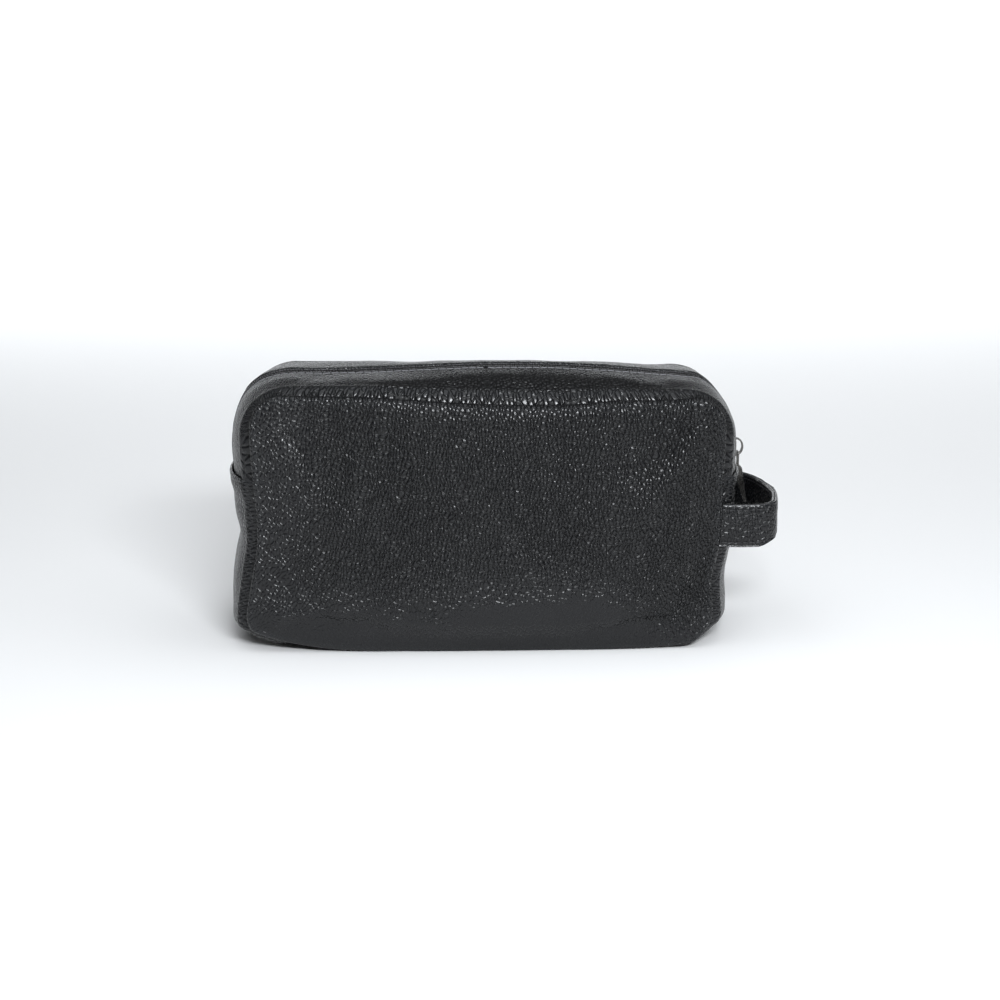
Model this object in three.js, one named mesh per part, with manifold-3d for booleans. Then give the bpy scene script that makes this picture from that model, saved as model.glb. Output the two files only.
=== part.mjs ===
// A soft leather wash bag used as a makeup bag: two crowned panels, a base gusset, a zipped top gusset
// that turns down both ends, a full lining, a coil zip with its slider and pull, and a wrist loop.
// Millimetres. +X to the loop's side, +Y to the back, +Z up. The origin is the middle of the base on the floor.
import * as THREE from 'three';
import { mergeVertices } from 'three/addons/utils/BufferGeometryUtils.js';
import Module from 'manifold-3d';

const wasm = await Module();
wasm.setup();

// ---------------------------------------------------------------- driving dimensions

const CLEARANCE = 0.3;              // kept between pieces that touch

// The seam outline, where each panel is sewn to the gussets.
const HALF_DEPTH = 42;              // the seams' distance from the middle plane
const SEAM_HALF_WIDTH = 124;
const SEAM_TOP = 138;
const SEAM_BOTTOM = 2;
const SEAM_TOP_RADIUS = 16;
const SEAM_BOTTOM_RADIUS = 20;
const SEAM_SAG = 5;                 // how far the top seam droops at its middle

// The crown line, the gussets' outermost line halfway between the seams.
const CROWN_HALF_WIDTH = 135;
const CROWN_TOP_RADIUS = 41;        // the zip's bend at each top corner
const CROWN_TOP_CENTRE_Z = 104.5;
const CROWN_TOP_RISE = 3.2;         // how far the zip line rises at its middle
const CROWN_BOTTOM_RADIUS = 15;
const CROWN_BOTTOM = -1;            // below the floor, so that the base is pressed flat on it
const CROWN_POWER = 2.2;            // how round the gussets are from seam to seam

const PANEL_CROWN = 12;             // how far a panel swells past its seam
const PANEL_POWER = 2.6;

const LEATHER = 1.8;
const LINING = 0.6;
const LINING_EASE = 1.1;            // the lining hangs this far inside the leather
const TAPE = 0.6;

const GUSSET_JOIN_Z = 94.3;         // where the base gusset meets the zip gusset
const LIP_HALF_LENGTH = 84;         // the middle of the top, which opens as two lips

// The zip, measured from its middle line (half widths) and from the crown surface (depths).
const LIP_EDGE = 5;
const TAPE_INNER = 0.6;
const TAPE_OUTER = 13;
const TAPE_SPREAD = 2.2;            // the tapes' inner edges, parted past the slider
const COIL_INNER = 0.15;
const COIL_OUTER = 2.3;
const COIL_PROUD = 0.4;
const TAPE_DEPTH = LEATHER + CLEARANCE;
const BASE_LINING_DEPTH = LEATHER + LINING_EASE;
const ZIP_LINING_DEPTH = TAPE_DEPTH + TAPE + CLEARANCE;
const ZIP_LINING_EDGE = 9;

// The slider at the closed end of the zip, and its pull.
const SLIDER_Z = 100.8;
const SLIDER_LENGTH = 10;
const SLIDER_HALF_WIDTH = 4.3;
const SLIDER_PLATE = 0.8;
const SLIDER_FLANGE = 0.8;
const SLIDER_CORNER = 1.6;
const FLANGE_INSET = 1.7;            // the flanges stop this far short of the plates' ends
const PILLAR_INSET = 0.3;
const SLIDER_TOP_X = CROWN_HALF_WIDTH + COIL_PROUD + CLEARANCE;
const SLIDER_UNDER_X = CROWN_HALF_WIDTH - TAPE_DEPTH - TAPE - 3 * CLEARANCE;
const SLIDER_FLANGE_X = CROWN_HALF_WIDTH - TAPE_DEPTH + 0.4;
const PILLAR_LENGTH = 2.6;
const PILLAR_HALF_WIDTH = 1.2;
const BRIDGE_LENGTH = 10;
const BRIDGE_WIDTH = 2.4;
const BRIDGE_HEIGHT = 4;
const BRIDGE_WALL = 0.9;
const LINK_X = 138;
const LINK_PIVOT_Z = 97.9;
const LINK_LENGTH = 9.7;            // between the link's two bars
const LINK_HALF_WIDTH = 3;
const LINK_WIRE = 0.7;
const LINK_CORNER = 0.9;
const LINK_INNER_CORNER = 0.3;
const TAB_PIVOT_Z = LINK_PIVOT_Z - LINK_LENGTH;
const TAB_LENGTH = 18.8;
const TAB_HEAD_RADIUS = 2.4;
const TAB_TIP_RADIUS = 0.7;
const TAB_BORE = 0.75;
const TAB_LEAN = THREE.MathUtils.degToRad(14);

// Metal stops on the zip's ends.
const STOP_WIDTH = 2.6;
const STOP_LENGTH = 1.2;
const TOP_STOP_Z = 95.2;
const BOTTOM_STOP_Z = 95.6;
const COIL_END_Z = 101.2;           // where the coil stops above the slider's pillar
const COIL_START_Z = 97;             // where it starts at the other end

// The wrist loop, two bonded layers sewn into both side seams.
const LOOP_LAYER = 1.2;
const LOOP_BOTTOM = 55.8;
const LOOP_TOP = 78.8;
const LOOP_ROOT_X = 127.2;
const LOOP_FRONT_Y = -43.1;
const LOOP_BACK_Y = 42.6;
const LOOP_REACH = 155.8;           // the middle of its thickness at its outermost
const LOOP_SEGMENTS = 40;

// ---------------------------------------------------------------- finishes

const finish = (color, roughness, metalness = 0) =>
  new THREE.MeshStandardMaterial({ color, roughness, metalness });
const leather = finish(0x1b1c20, 0.5);
const liningCloth = finish(0x16161a, 0.85);
const tapeCloth = finish(0x0e0e10, 0.8);
const coilPlastic = finish(0x121214, 0.4);
const metal = finish(0x8b8d92, 0.3, 1);

// ---------------------------------------------------------------- helpers

const lerp = THREE.MathUtils.lerp;

// A box of the given divisions, bent by place(u, v, w) with all three from 0 to 1.
function bentBox(divisionsU, divisionsV, place) {
  const geometry = new THREE.BoxGeometry(1, 1, 1, divisionsU, divisionsV, 1);
  const position = geometry.attributes.position;
  for (let i = 0; i < position.count; i += 1) {
    const u = Math.round((position.getX(i) + 0.5) * divisionsU) / divisionsU;
    const v = Math.round((position.getY(i) + 0.5) * divisionsV) / divisionsV;
    const w = Math.round(position.getZ(i) + 0.5);
    const point = place(u, v, w);
    position.setXYZ(i, point.x, point.y, point.z);
  }
  geometry.computeVertexNormals();
  return geometry;
}

// A station across the gussets: a point on the seam, the matching point on the crown, and the way out.
const station = (seamX, seamZ, crownX, crownZ, outX, outZ) => ({ seamX, seamZ, crownX, crownZ, outX, outZ });
const mirrored = (s) => station(-s.seamX, s.seamZ, -s.crownX, s.crownZ, -s.outX, s.outZ);

const joinGap = CLEARANCE / 2;
const seamTopCentreX = SEAM_HALF_WIDTH - SEAM_TOP_RADIUS;
const seamTopCentreZ = SEAM_TOP - SEAM_TOP_RADIUS;
const seamBottomCentreX = SEAM_HALF_WIDTH - SEAM_BOTTOM_RADIUS;
const seamBottomCentreZ = SEAM_BOTTOM + SEAM_BOTTOM_RADIUS;
const crownTopCentreX = CROWN_HALF_WIDTH - CROWN_TOP_RADIUS;
const crownBottomCentreX = CROWN_HALF_WIDTH - CROWN_BOTTOM_RADIUS;
const crownBottomCentreZ = CROWN_BOTTOM + CROWN_BOTTOM_RADIUS;
const crownTop = CROWN_TOP_CENTRE_Z + CROWN_TOP_RADIUS;

// The stretches of the right-hand half, each from its lower or outer end at t = 0.
function upperSide(t) {
  const seamZ = lerp(GUSSET_JOIN_Z, seamTopCentreZ, t);
  const crownZ = lerp(GUSSET_JOIN_Z, CROWN_TOP_CENTRE_Z, t);
  return station(SEAM_HALF_WIDTH, seamZ, CROWN_HALF_WIDTH, crownZ, 1, 0);
}

function topCorner(t) {
  const [c, s] = [Math.cos(t * Math.PI / 2), Math.sin(t * Math.PI / 2)];
  return station(
    seamTopCentreX + SEAM_TOP_RADIUS * c, seamTopCentreZ + SEAM_TOP_RADIUS * s,
    crownTopCentreX + CROWN_TOP_RADIUS * c, CROWN_TOP_CENTRE_Z + CROWN_TOP_RADIUS * s,
    c, s,
  );
}

function top(seamX, crownX) {
  const sag = SEAM_SAG * (1 - (seamX / seamTopCentreX) ** 2);
  const rise = CROWN_TOP_RISE * (1 - (crownX / crownTopCentreX) ** 2);
  return station(seamX, SEAM_TOP - sag, crownX, crownTop + rise, 0, 1);
}

const lip = (share) => top(share * LIP_HALF_LENGTH, share * LIP_HALF_LENGTH);
const besideLip = (t) => top(
  lerp(seamTopCentreX, LIP_HALF_LENGTH + joinGap, t), lerp(crownTopCentreX, LIP_HALF_LENGTH + joinGap, t),
);

function lowerSide(t) {
  const seamZ = lerp(seamBottomCentreZ, GUSSET_JOIN_Z, t);
  const crownZ = lerp(crownBottomCentreZ, GUSSET_JOIN_Z, t);
  return station(SEAM_HALF_WIDTH, seamZ, CROWN_HALF_WIDTH, crownZ, 1, 0);
}

function bottomCorner(t) {
  const [c, s] = [Math.sin(t * Math.PI / 2), -Math.cos(t * Math.PI / 2)];
  return station(
    seamBottomCentreX + SEAM_BOTTOM_RADIUS * c, seamBottomCentreZ + SEAM_BOTTOM_RADIUS * s,
    crownBottomCentreX + CROWN_BOTTOM_RADIUS * c, crownBottomCentreZ + CROWN_BOTTOM_RADIUS * s,
    c, s,
  );
}

function bottom(share) {
  return station(seamBottomCentreX * share, SEAM_BOTTOM, crownBottomCentreX * share, CROWN_BOTTOM, 0, -1);
}

// Stations of one stretch, from t = start to t = end, without the first where another stretch comes before it.
function stretch(stretchAt, start, end, steps, skipFirst = false) {
  const stations = [];
  for (let i = skipFirst ? 1 : 0; i <= steps; i += 1) {
    stations.push(stretchAt(lerp(start, end, i / steps)));
  }
  return stations;
}

const joinShare = joinGap / (CROWN_TOP_CENTRE_Z - GUSSET_JOIN_Z);
const lipEnd = 1 - joinGap / LIP_HALF_LENGTH;

const rightCorner = [
  ...stretch(upperSide, joinShare, 1, 2),
  ...stretch(topCorner, 0, 1, 7, true),
  ...stretch(besideLip, 0, 1, 1, true),
];
const leftCorner = [...rightCorner].reverse().map(mirrored);
const lipRun = stretch(lip, lipEnd, -lipEnd, 12);
const baseRight = [
  ...stretch(bottom, 0, 1, 7),
  ...stretch(bottomCorner, 0, 1, 5, true),
  ...stretch(lowerSide, 0, 1 - joinShare, 4, true),
];
const baseRun = [...baseRight.slice(1).reverse().map(mirrored), ...baseRight];

// How much of the crown a gusset has at depth y: 1 in the middle, 0 at the seams.
const crownShare = (y) => 1 - Math.abs(y / HALF_DEPTH) ** CROWN_POWER;

// A point of a gusset at a station, at depth y, sunk below its outer surface.
function gussetPoint(s, y, sunk) {
  const share = crownShare(y);
  const x = lerp(s.seamX, s.crownX, share);
  const z = Math.max(0, lerp(s.seamZ, s.crownZ, share));
  return new THREE.Vector3(x - s.outX * sunk, y, z - s.outZ * sunk);
}

// A strip along the stations, from y = near(s) to y = far(s), between two depths below the outer surface.
function strip(stations, near, far, outer, inner, divisionsAcross) {
  const last = stations.length - 1;
  return bentBox(last, divisionsAcross, (u, v, w) => {
    const s = stations[Math.round(u * last)];
    return gussetPoint(s, lerp(near(s), far(s), v), lerp(outer, inner, w));
  });
}

// The same strip in front of the middle plane (side -1) or behind it (side 1).
function halfStrip(side, stations, innerEdge, outerEdge, outer, inner, divisionsAcross) {
  const inward = (s) => side * innerEdge(s);
  const outward = (s) => side * outerEdge(s);
  const [near, far] = side < 0 ? [outward, inward] : [inward, outward];
  return strip(stations, near, far, outer, inner, divisionsAcross);
}

// Where a panel's edge lies for a point on the rim of the square from -1 to 1.
const STRAIGHT_SHARE = 2 / 3;        // of each side of the square; the rest bends round the corners

function rimPoint(a, b) {
  const acrossTop = Math.abs(b) >= Math.abs(a);
  const along = acrossTop ? a : b;
  const bent = Math.max(0, Math.abs(along) - STRAIGHT_SHARE) / (1 - STRAIGHT_SHARE);
  const straight = Math.min(1, Math.abs(along) / STRAIGHT_SHARE) * Math.sign(along);
  const turn = bent * Math.PI / 4;
  const [side, rise] = [Math.sign(a) || 1, Math.sign(b) || 1];
  const radius = rise > 0 ? SEAM_TOP_RADIUS : SEAM_BOTTOM_RADIUS;
  const centreX = SEAM_HALF_WIDTH - radius;
  const centreZ = rise > 0 ? seamTopCentreZ : seamBottomCentreZ;
  if (acrossTop) {
    const sag = rise > 0 && bent === 0 ? SEAM_SAG * (1 - straight * straight) : 0;
    return {
      x: straight * centreX + side * radius * Math.sin(turn),
      z: centreZ + rise * radius * Math.cos(turn) - sag,
    };
  }
  const middleZ = (seamTopCentreZ + seamBottomCentreZ) / 2;
  return {
    x: side * (centreX + radius * Math.cos(turn)),
    z: lerp(middleZ, centreZ, Math.abs(straight)) + rise * radius * Math.sin(turn),
  };
}

// A crowned panel: side is -1 in front and 1 behind, inset shrinks its outline, and its inner face lies at
// y = edge along the rim.
function panel(side, edge, thickness, inset, divisionsX, divisionsZ) {
  const middleZ = (SEAM_TOP + SEAM_BOTTOM) / 2;
  const halfHeight = (SEAM_TOP - SEAM_BOTTOM) / 2;
  return bentBox(divisionsX, divisionsZ, (u, v, w) => {
    const [a, b] = [2 * u - 1, side * (1 - 2 * v)];
    const ring = Math.max(Math.abs(a), Math.abs(b));
    const rim = ring > 0 ? rimPoint(a / ring, b / ring) : { x: 0, z: middleZ };
    const x = rim.x * ring * (1 - inset / SEAM_HALF_WIDTH);
    const z = middleZ + (rim.z - middleZ) * ring * (1 - inset / halfHeight);
    const swell = (PANEL_CROWN - LEATHER) * (1 - ring ** PANEL_POWER);
    return new THREE.Vector3(x, side * (edge + swell + thickness * w), z);
  });
}

function toSolid(geometry) {
  const bare = geometry.clone();
  bare.deleteAttribute('normal');
  bare.deleteAttribute('uv');
  const merged = mergeVertices(bare, 1e-4);
  return new wasm.Manifold(new wasm.Mesh({
    numProp: 3,
    vertProperties: new Float32Array(merged.attributes.position.array),
    triVerts: new Uint32Array(merged.index.array),
  }));
}

function toGeometry(solid) {
  const mesh = solid.getMesh();
  const geometry = new THREE.BufferGeometry();
  geometry.setAttribute('position', new THREE.BufferAttribute(new Float32Array(mesh.vertProperties), 3));
  geometry.setIndex(new THREE.BufferAttribute(new Uint32Array(mesh.triVerts), 1));
  geometry.computeVertexNormals();
  return geometry;
}

const joined = (...geometries) => toGeometry(geometries.map(toSolid).reduce((all, next) => all.add(next)));

// A box from its two opposite corners.
function block(low, high) {
  const size = high.map((value, axis) => value - low[axis]);
  const centre = high.map((value, axis) => (value + low[axis]) / 2);
  return new THREE.BoxGeometry(...size).translate(...centre);
}

// An outline drawn in the XZ plane, thickened equally to both sides along Y.
function extrudedAlongY(shape, thickness, curveSegments = 8) {
  const options = { depth: thickness, bevelEnabled: false, curveSegments };
  return new THREE.ExtrudeGeometry(shape, options).rotateX(Math.PI / 2).translate(0, thickness / 2, 0);
}

const bag = new THREE.Group();

function add(name, geometry, material) {
  const mesh = new THREE.Mesh(geometry, material);
  mesh.name = name;
  bag.add(mesh);
  return mesh;
}

// ---------------------------------------------------------------- shell

const always = (value) => () => value;
const seamY = HALF_DEPTH - CLEARANCE / 2;
const SIDES = { front: -1, back: 1 };
const RUNS = { right: rightCorner, top: lipRun, left: leftCorner };

const baseStrip = (stations, outer, inner, divisions) =>
  strip(stations, always(-seamY), always(seamY), outer, inner, divisions);
const everySecond = (stations) => stations.filter((_, i) => i % 2 === 0);
const liningTop = BASE_LINING_DEPTH + LINING;
add('base_gusset', baseStrip(baseRun, 0, LEATHER, 12), leather);
add('lining_base', baseStrip(everySecond(baseRun), BASE_LINING_DEPTH, liningTop, 6), liningCloth);

const panelEdge = HALF_DEPTH + CLEARANCE / 2;
const liningEdge = panelEdge - LINING_EASE;
const liningInset = ZIP_LINING_DEPTH + LINING + LINING_EASE;

for (const [place, side] of Object.entries(SIDES)) {
  add(`${place}_panel`, panel(side, panelEdge, LEATHER, 0, 24, 12), leather);
  add(`lining_${place}`, panel(side, liningEdge, LINING, liningInset, 12, 6), liningCloth);
}

// ---------------------------------------------------------------- zip gusset and zip

// The tapes part below the pillar of the slider, on its own side only.
function tapeEdge(s) {
  const besideSlider = s.outX > 0 && s.crownZ < COIL_END_Z;
  return besideSlider ? TAPE_SPREAD : TAPE_INNER;
}

const lowestCoil = { right: COIL_END_Z, left: COIL_START_Z };

// A run with the stretch below a height taken off, and a station added at that height.
function above(stations, height) {
  const kept = stations.filter((s) => s.crownZ > height);
  const share = (height - GUSSET_JOIN_Z) / (CROWN_TOP_CENTRE_Z - GUSSET_JOIN_Z);
  const end = upperSide(share);
  return stations[0].crownX > 0 ? [end, ...kept] : [...kept, mirrored(end)];
}

for (const [place, side] of Object.entries(SIDES)) {
  for (const [run, stations] of Object.entries(RUNS)) {
    const flap = halfStrip(side, stations, always(LIP_EDGE), always(seamY), 0, LEATHER, 8);
    add(`zip_gusset_${place}_${run}`, flap, leather);

    const tapeBottom = TAPE_DEPTH + TAPE;
    const tape = halfStrip(side, stations, tapeEdge, always(TAPE_OUTER), TAPE_DEPTH, tapeBottom, 2);
    add(`zip_tape_${place}_${run}`, tape, tapeCloth);

    const facing = halfStrip(
      side, stations, always(ZIP_LINING_EDGE), always(seamY), ZIP_LINING_DEPTH, ZIP_LINING_DEPTH + LINING, 4,
    );
    add(`lining_zip_${place}_${run}`, facing, liningCloth);

    const toothed = run === 'top' ? stations : above(stations, lowestCoil[run]);
    const coil = halfStrip(side, toothed, always(COIL_INNER), always(COIL_OUTER), -COIL_PROUD, LEATHER, 1);
    add(`zip_coil_${place}_${run}`, coil, coilPlastic);
  }
}

// Each stop is a metal block on the tapes: one for each tape at the closed end, one for both at the other.
const stopHeight = TAPE_DEPTH - CLEARANCE;

function addStop(name, side, z, nearY, farY) {
  const [low, high] = side < 0 ? [0, stopHeight] : [-stopHeight, 0];
  const x = side * CROWN_HALF_WIDTH;
  const half = STOP_LENGTH / 2;
  add(name, block([x + low, nearY, z - half], [x + high, farY, z + half]), metal);
}

const partedEdge = TAPE_SPREAD + STOP_WIDTH;
addStop('zip_top_stop_front', 1, TOP_STOP_Z, -partedEdge, -TAPE_SPREAD);
addStop('zip_top_stop_back', 1, TOP_STOP_Z, TAPE_SPREAD, partedEdge);
addStop('zip_bottom_stop', -1, BOTTOM_STOP_Z, -STOP_WIDTH, STOP_WIDTH);

// ---------------------------------------------------------------- slider and pull

// An outline drawn in the YZ plane, from x = low to x = high.
function extrudedAlongX(shape, low, high, curveSegments = 6) {
  const options = { depth: high - low, bevelEnabled: false, curveSegments };
  const turned = new THREE.Matrix4().makeBasis(
    new THREE.Vector3(0, 1, 0), new THREE.Vector3(0, 0, 1), new THREE.Vector3(1, 0, 0),
  );
  return new THREE.ExtrudeGeometry(shape, options).applyMatrix4(turned).translate(low, 0, 0);
}

// A rectangle with round corners, from its middle and half sizes.
function roundedRectangle(halfWidth, halfHeight, radius, into = new THREE.Shape()) {
  const corners = [[1, -1, -90], [1, 1, 0], [-1, 1, 90], [-1, -1, 180]];
  into.moveTo(-halfWidth + radius, -halfHeight);
  for (const [across, up, degrees] of corners) {
    const from = THREE.MathUtils.degToRad(degrees);
    const centre = [across * (halfWidth - radius), up * (halfHeight - radius)];
    into.absarc(centre[0], centre[1], radius, from, from + Math.PI / 2);
  }
  into.closePath();
  return into;
}

function sliderBody() {
  const half = SLIDER_LENGTH / 2;
  const plate = (low) =>
    extrudedAlongX(roundedRectangle(SLIDER_HALF_WIDTH, half, SLIDER_CORNER), low, low + SLIDER_PLATE)
      .translate(0, 0, SLIDER_Z);
  const flangeLength = half - FLANGE_INSET;
  const flange = (side) => {
    const inner = side * (SLIDER_HALF_WIDTH - SLIDER_FLANGE);
    const [near, far] = [inner, side * SLIDER_HALF_WIDTH].sort((p, q) => p - q);
    return block(
      [SLIDER_FLANGE_X, near, SLIDER_Z - flangeLength],
      [SLIDER_TOP_X + SLIDER_PLATE / 2, far, SLIDER_Z + flangeLength],
    );
  };
  const pillarLow = SLIDER_Z - half + PILLAR_INSET;
  const pillar = block(
    [SLIDER_UNDER_X - SLIDER_PLATE / 2, -PILLAR_HALF_WIDTH, pillarLow],
    [SLIDER_TOP_X + SLIDER_PLATE / 2, PILLAR_HALF_WIDTH, pillarLow + PILLAR_LENGTH],
  );
  return joined(plate(SLIDER_TOP_X), plate(SLIDER_UNDER_X - SLIDER_PLATE), flange(-1), flange(1), pillar);
}

// An arch standing on the slider's upper plate.
function sliderBridge() {
  const rootX = SLIDER_TOP_X + SLIDER_PLATE + CLEARANCE;
  const quarter = Math.PI / 2;
  const shape = new THREE.Shape();
  shape.absellipse(rootX, SLIDER_Z, BRIDGE_HEIGHT, BRIDGE_LENGTH / 2, -quarter, quarter, false);
  const innerHeight = BRIDGE_HEIGHT - BRIDGE_WALL;
  const innerLength = BRIDGE_LENGTH / 2 - BRIDGE_WALL;
  shape.absellipse(rootX, SLIDER_Z, innerHeight, innerLength, quarter, -quarter, true);
  shape.closePath();
  return extrudedAlongY(shape, BRIDGE_WIDTH);
}

// A wire ring whose upper bar turns under the bridge and whose lower bar carries the pull tab.
function pullLink() {
  const halfHeight = (LINK_LENGTH + LINK_WIRE) / 2;
  const ring = roundedRectangle(LINK_HALF_WIDTH, halfHeight, LINK_CORNER);
  const holeHalfWidth = LINK_HALF_WIDTH - LINK_WIRE;
  const hole = roundedRectangle(holeHalfWidth, halfHeight - LINK_WIRE, LINK_INNER_CORNER, new THREE.Path());
  ring.holes.push(hole);
  const half = LINK_WIRE / 2;
  return extrudedAlongX(ring, LINK_X - half, LINK_X + half).translate(0, 0, (LINK_PIVOT_Z + TAB_PIVOT_Z) / 2);
}

// A cast tab hanging from the link's lower bar: a round bored head that thins down to its tip.
function pullTab() {
  const outline = new THREE.Shape();
  outline.absarc(0, 0, TAB_HEAD_RADIUS, 0, Math.PI);
  outline.absarc(0, TAB_TIP_RADIUS - TAB_LENGTH, TAB_TIP_RADIUS, Math.PI, 2 * Math.PI);
  outline.closePath();
  const bore = new THREE.Path();
  bore.absarc(0, 0, TAB_BORE, 0, 2 * Math.PI);
  outline.holes.push(bore);
  return extrudedAlongY(outline, 2 * (LINK_HALF_WIDTH - LINK_WIRE - CLEARANCE), 12);
}

add('slider_body', sliderBody(), metal);
add('slider_bridge', sliderBridge(), metal);
add('pull_link', pullLink(), metal);
const tab = add('pull_tab', pullTab(), metal);
tab.position.set(LINK_X, 0, TAB_PIVOT_Z);
tab.rotation.y = -TAB_LEAN;

// ---------------------------------------------------------------- wrist loop

// The middle of the strap's thickness, seen from above, from the front seam round to the back one.
const loopRoute = new THREE.CatmullRomCurve3([
  [LOOP_ROOT_X, LOOP_FRONT_Y],
  [138, LOOP_FRONT_Y - 0.3],
  [146.5, LOOP_FRONT_Y],
  [151.6, -39.5],
  [153.6, -33],
  [LOOP_REACH, -18],
  [LOOP_REACH, -5],
  [154.2, 7],
  [151.6, 20],
  [147.4, 30],
  [139.5, 38.5],
  [LOOP_ROOT_X, LOOP_BACK_Y],
].map(([x, y]) => new THREE.Vector3(x, y, 0)));

// One layer of the strap, between two distances outside the route.
function loopLayer(inner, outer) {
  const offset = (index, distance) => {
    const t = index / LOOP_SEGMENTS;
    const point = loopRoute.getPointAt(t);
    const tangent = loopRoute.getTangentAt(t);
    return new THREE.Vector2(point.x + tangent.y * distance, point.y - tangent.x * distance);
  };
  const steps = [...Array(LOOP_SEGMENTS + 1).keys()];
  const outline = [
    ...steps.map((i) => offset(i, outer)),
    ...steps.reverse().map((i) => offset(i, inner)),
  ];
  const options = { depth: LOOP_TOP - LOOP_BOTTOM, bevelEnabled: false };
  return new THREE.ExtrudeGeometry(new THREE.Shape(outline), options).translate(0, 0, LOOP_BOTTOM);
}

const half = CLEARANCE / 2;
add('loop_outer', loopLayer(half, half + LOOP_LAYER), leather);
add('loop_inner', loopLayer(-half - LOOP_LAYER, -half), leather);

export default bag;
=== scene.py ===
"""A black pebbled leather wash bag used as a makeup bag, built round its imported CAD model.

Lengths are in millimetres until a mesh is made, and the origin is the middle of the base on the floor:
+X to the wrist loop, +Y to the back, +Z up.
"""
import math

import bmesh
import bpy
import numpy as np
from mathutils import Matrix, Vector


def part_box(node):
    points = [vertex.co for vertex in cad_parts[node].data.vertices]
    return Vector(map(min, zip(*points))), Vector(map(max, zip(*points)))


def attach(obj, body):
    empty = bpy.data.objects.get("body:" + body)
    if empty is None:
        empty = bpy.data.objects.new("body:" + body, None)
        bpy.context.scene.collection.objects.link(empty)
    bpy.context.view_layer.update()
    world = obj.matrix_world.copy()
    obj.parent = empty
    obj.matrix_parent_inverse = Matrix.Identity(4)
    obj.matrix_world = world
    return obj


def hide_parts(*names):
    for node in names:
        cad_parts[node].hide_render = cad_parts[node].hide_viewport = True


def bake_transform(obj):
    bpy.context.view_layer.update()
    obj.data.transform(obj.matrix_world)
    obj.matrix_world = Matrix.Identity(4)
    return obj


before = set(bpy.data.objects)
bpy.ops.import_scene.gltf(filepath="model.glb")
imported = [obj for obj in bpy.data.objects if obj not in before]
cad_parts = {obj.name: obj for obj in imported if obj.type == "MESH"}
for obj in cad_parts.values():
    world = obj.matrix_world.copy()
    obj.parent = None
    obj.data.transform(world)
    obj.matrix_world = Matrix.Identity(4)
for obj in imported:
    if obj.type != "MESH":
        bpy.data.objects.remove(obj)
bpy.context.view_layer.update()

MM = 0.001
PEBBLES_PER_MM = 0.44
GRAIN_TURN = 0.5                            # the diagonal along which the pebbles are drawn out
GRAIN_STRETCH = (1.16, 0.86)

# ---------------------------------------------------------------- sizes taken from the frame


def box_mm(node):
    low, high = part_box(node)
    return np.array(low) / MM, np.array(high) / MM


_, base_high = box_mm("base_gusset")
panel_low, panel_high = box_mm("front_panel")
loop_low, loop_high = box_mm("loop_outer")

CLEARANCE = 0.3
SEAM_Y = base_high[1]                       # the gussets' edges, in front and behind
HALF_DEPTH = SEAM_Y + CLEARANCE / 2
PANEL_EDGE = SEAM_Y + CLEARANCE
SEAM_HALF_WIDTH = panel_high[0]
SEAM_TOP = panel_high[2]
SEAM_BOTTOM = panel_low[2]
CROWN_HALF_WIDTH = base_high[0]
GUSSET_JOIN_Z = base_high[2] + CLEARANCE / 2

# ---------------------------------------------------------------- sizes shared with the CAD model

SEAM_TOP_RADIUS = 16
SEAM_BOTTOM_RADIUS = 20
SEAM_SAG = 5
CROWN_TOP_RADIUS = 41
CROWN_TOP_CENTRE_Z = 104.5
CROWN_TOP_RISE = 3.2
CROWN_BOTTOM_RADIUS = 15
CROWN_BOTTOM = -1
PANEL_CROWN = 12
LEATHER = 1.8
LINING = 0.6
TAPE = 0.6
LIP_EDGE = 5
TAPE_INNER = 0.6
TAPE_OUTER = 13
TAPE_SPREAD = 2.2
TAPE_DEPTH = LEATHER + CLEARANCE
BASE_LINING_DEPTH = 2.9
ZIP_LINING_DEPTH = 3.0
ZIP_LINING_EDGE = 9
COIL_END_Z = 101.2
COIL_START_Z = 97
LOOP_BOTTOM = loop_low[2]
LOOP_TOP = loop_high[2]
LOOP_LAYER = 1.2
LOOP_ROUTE = (
    (122.6, -42.9), (130, -43.4), (138, -43.4), (146.5, -43.1), (151.6, -39.5), (153.6, -33), (155.8, -18),
    (155.8, -5), (154.2, 7), (151.6, 20), (147.4, 30), (139.5, 38.5), (130, 42.0), (122.6, 42.8),
)

# ---------------------------------------------------------------- sizes of the leatherwork

EDGE_ROUNDNESS = 2.3                        # the gussets' section: how flat its middle is
EDGE_STEEPNESS = 0.62                       # and how steeply it leaves the seams
ROLL = 1.9                                  # the turned edge of a panel, rolled over its seam
ROLL_START = math.radians(-72)              # where that roll rises from the seam
ROLL_STEPS = 9
ROLL_RINGS = (3.0, 4.4, 6.2, 8.6, 12)       # the rings inside it, by their distance from the outline
GROOVE = 2.8                                # how far the gussets' edges turn down into the seam
GROOVE_WIDTH = 1.4
WELT = 0.9                                  # the padded ridge of the gussets beside each seam
WELT_FROM_SEAM = 4.2
WELT_WIDTH = 2.4
SETTLING_FRAMES = 20
SETTLING_PRESSURE = 15
SETTLING_CAP = 3.0                          # the furthest that the cloth run may move a point
GROWTH = 0.006                              # the leather is cut this much larger than its outline
CORNER_LIFT = 7.5                           # the bottom corners don't reach the floor
GRID_INSET = 16                             # where a panel's even grid takes over from the rings
PANEL_POWER = 2.6
FOLD_RADIUS = 0.9                           # the folded leather beside the zip
STITCH_FROM_MIDDLE = 8.4                    # the topstitching on both sides of the zip
STITCH_LENGTH = 3.1
STITCH_PITCH = 4.0
STITCH_RADIUS = 0.3
LAP = 1.5                                   # the base gusset's top edges lie over the zip gusset
LAP_LENGTH = 14
TAB_HOLLOW = 1.0                           # the share of that lap pressed flat behind the pull tab
TAB_HOLLOW_WIDTH = 8
TAB_DENT = 0.85                             # and the dent that the tab rests over
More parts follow.
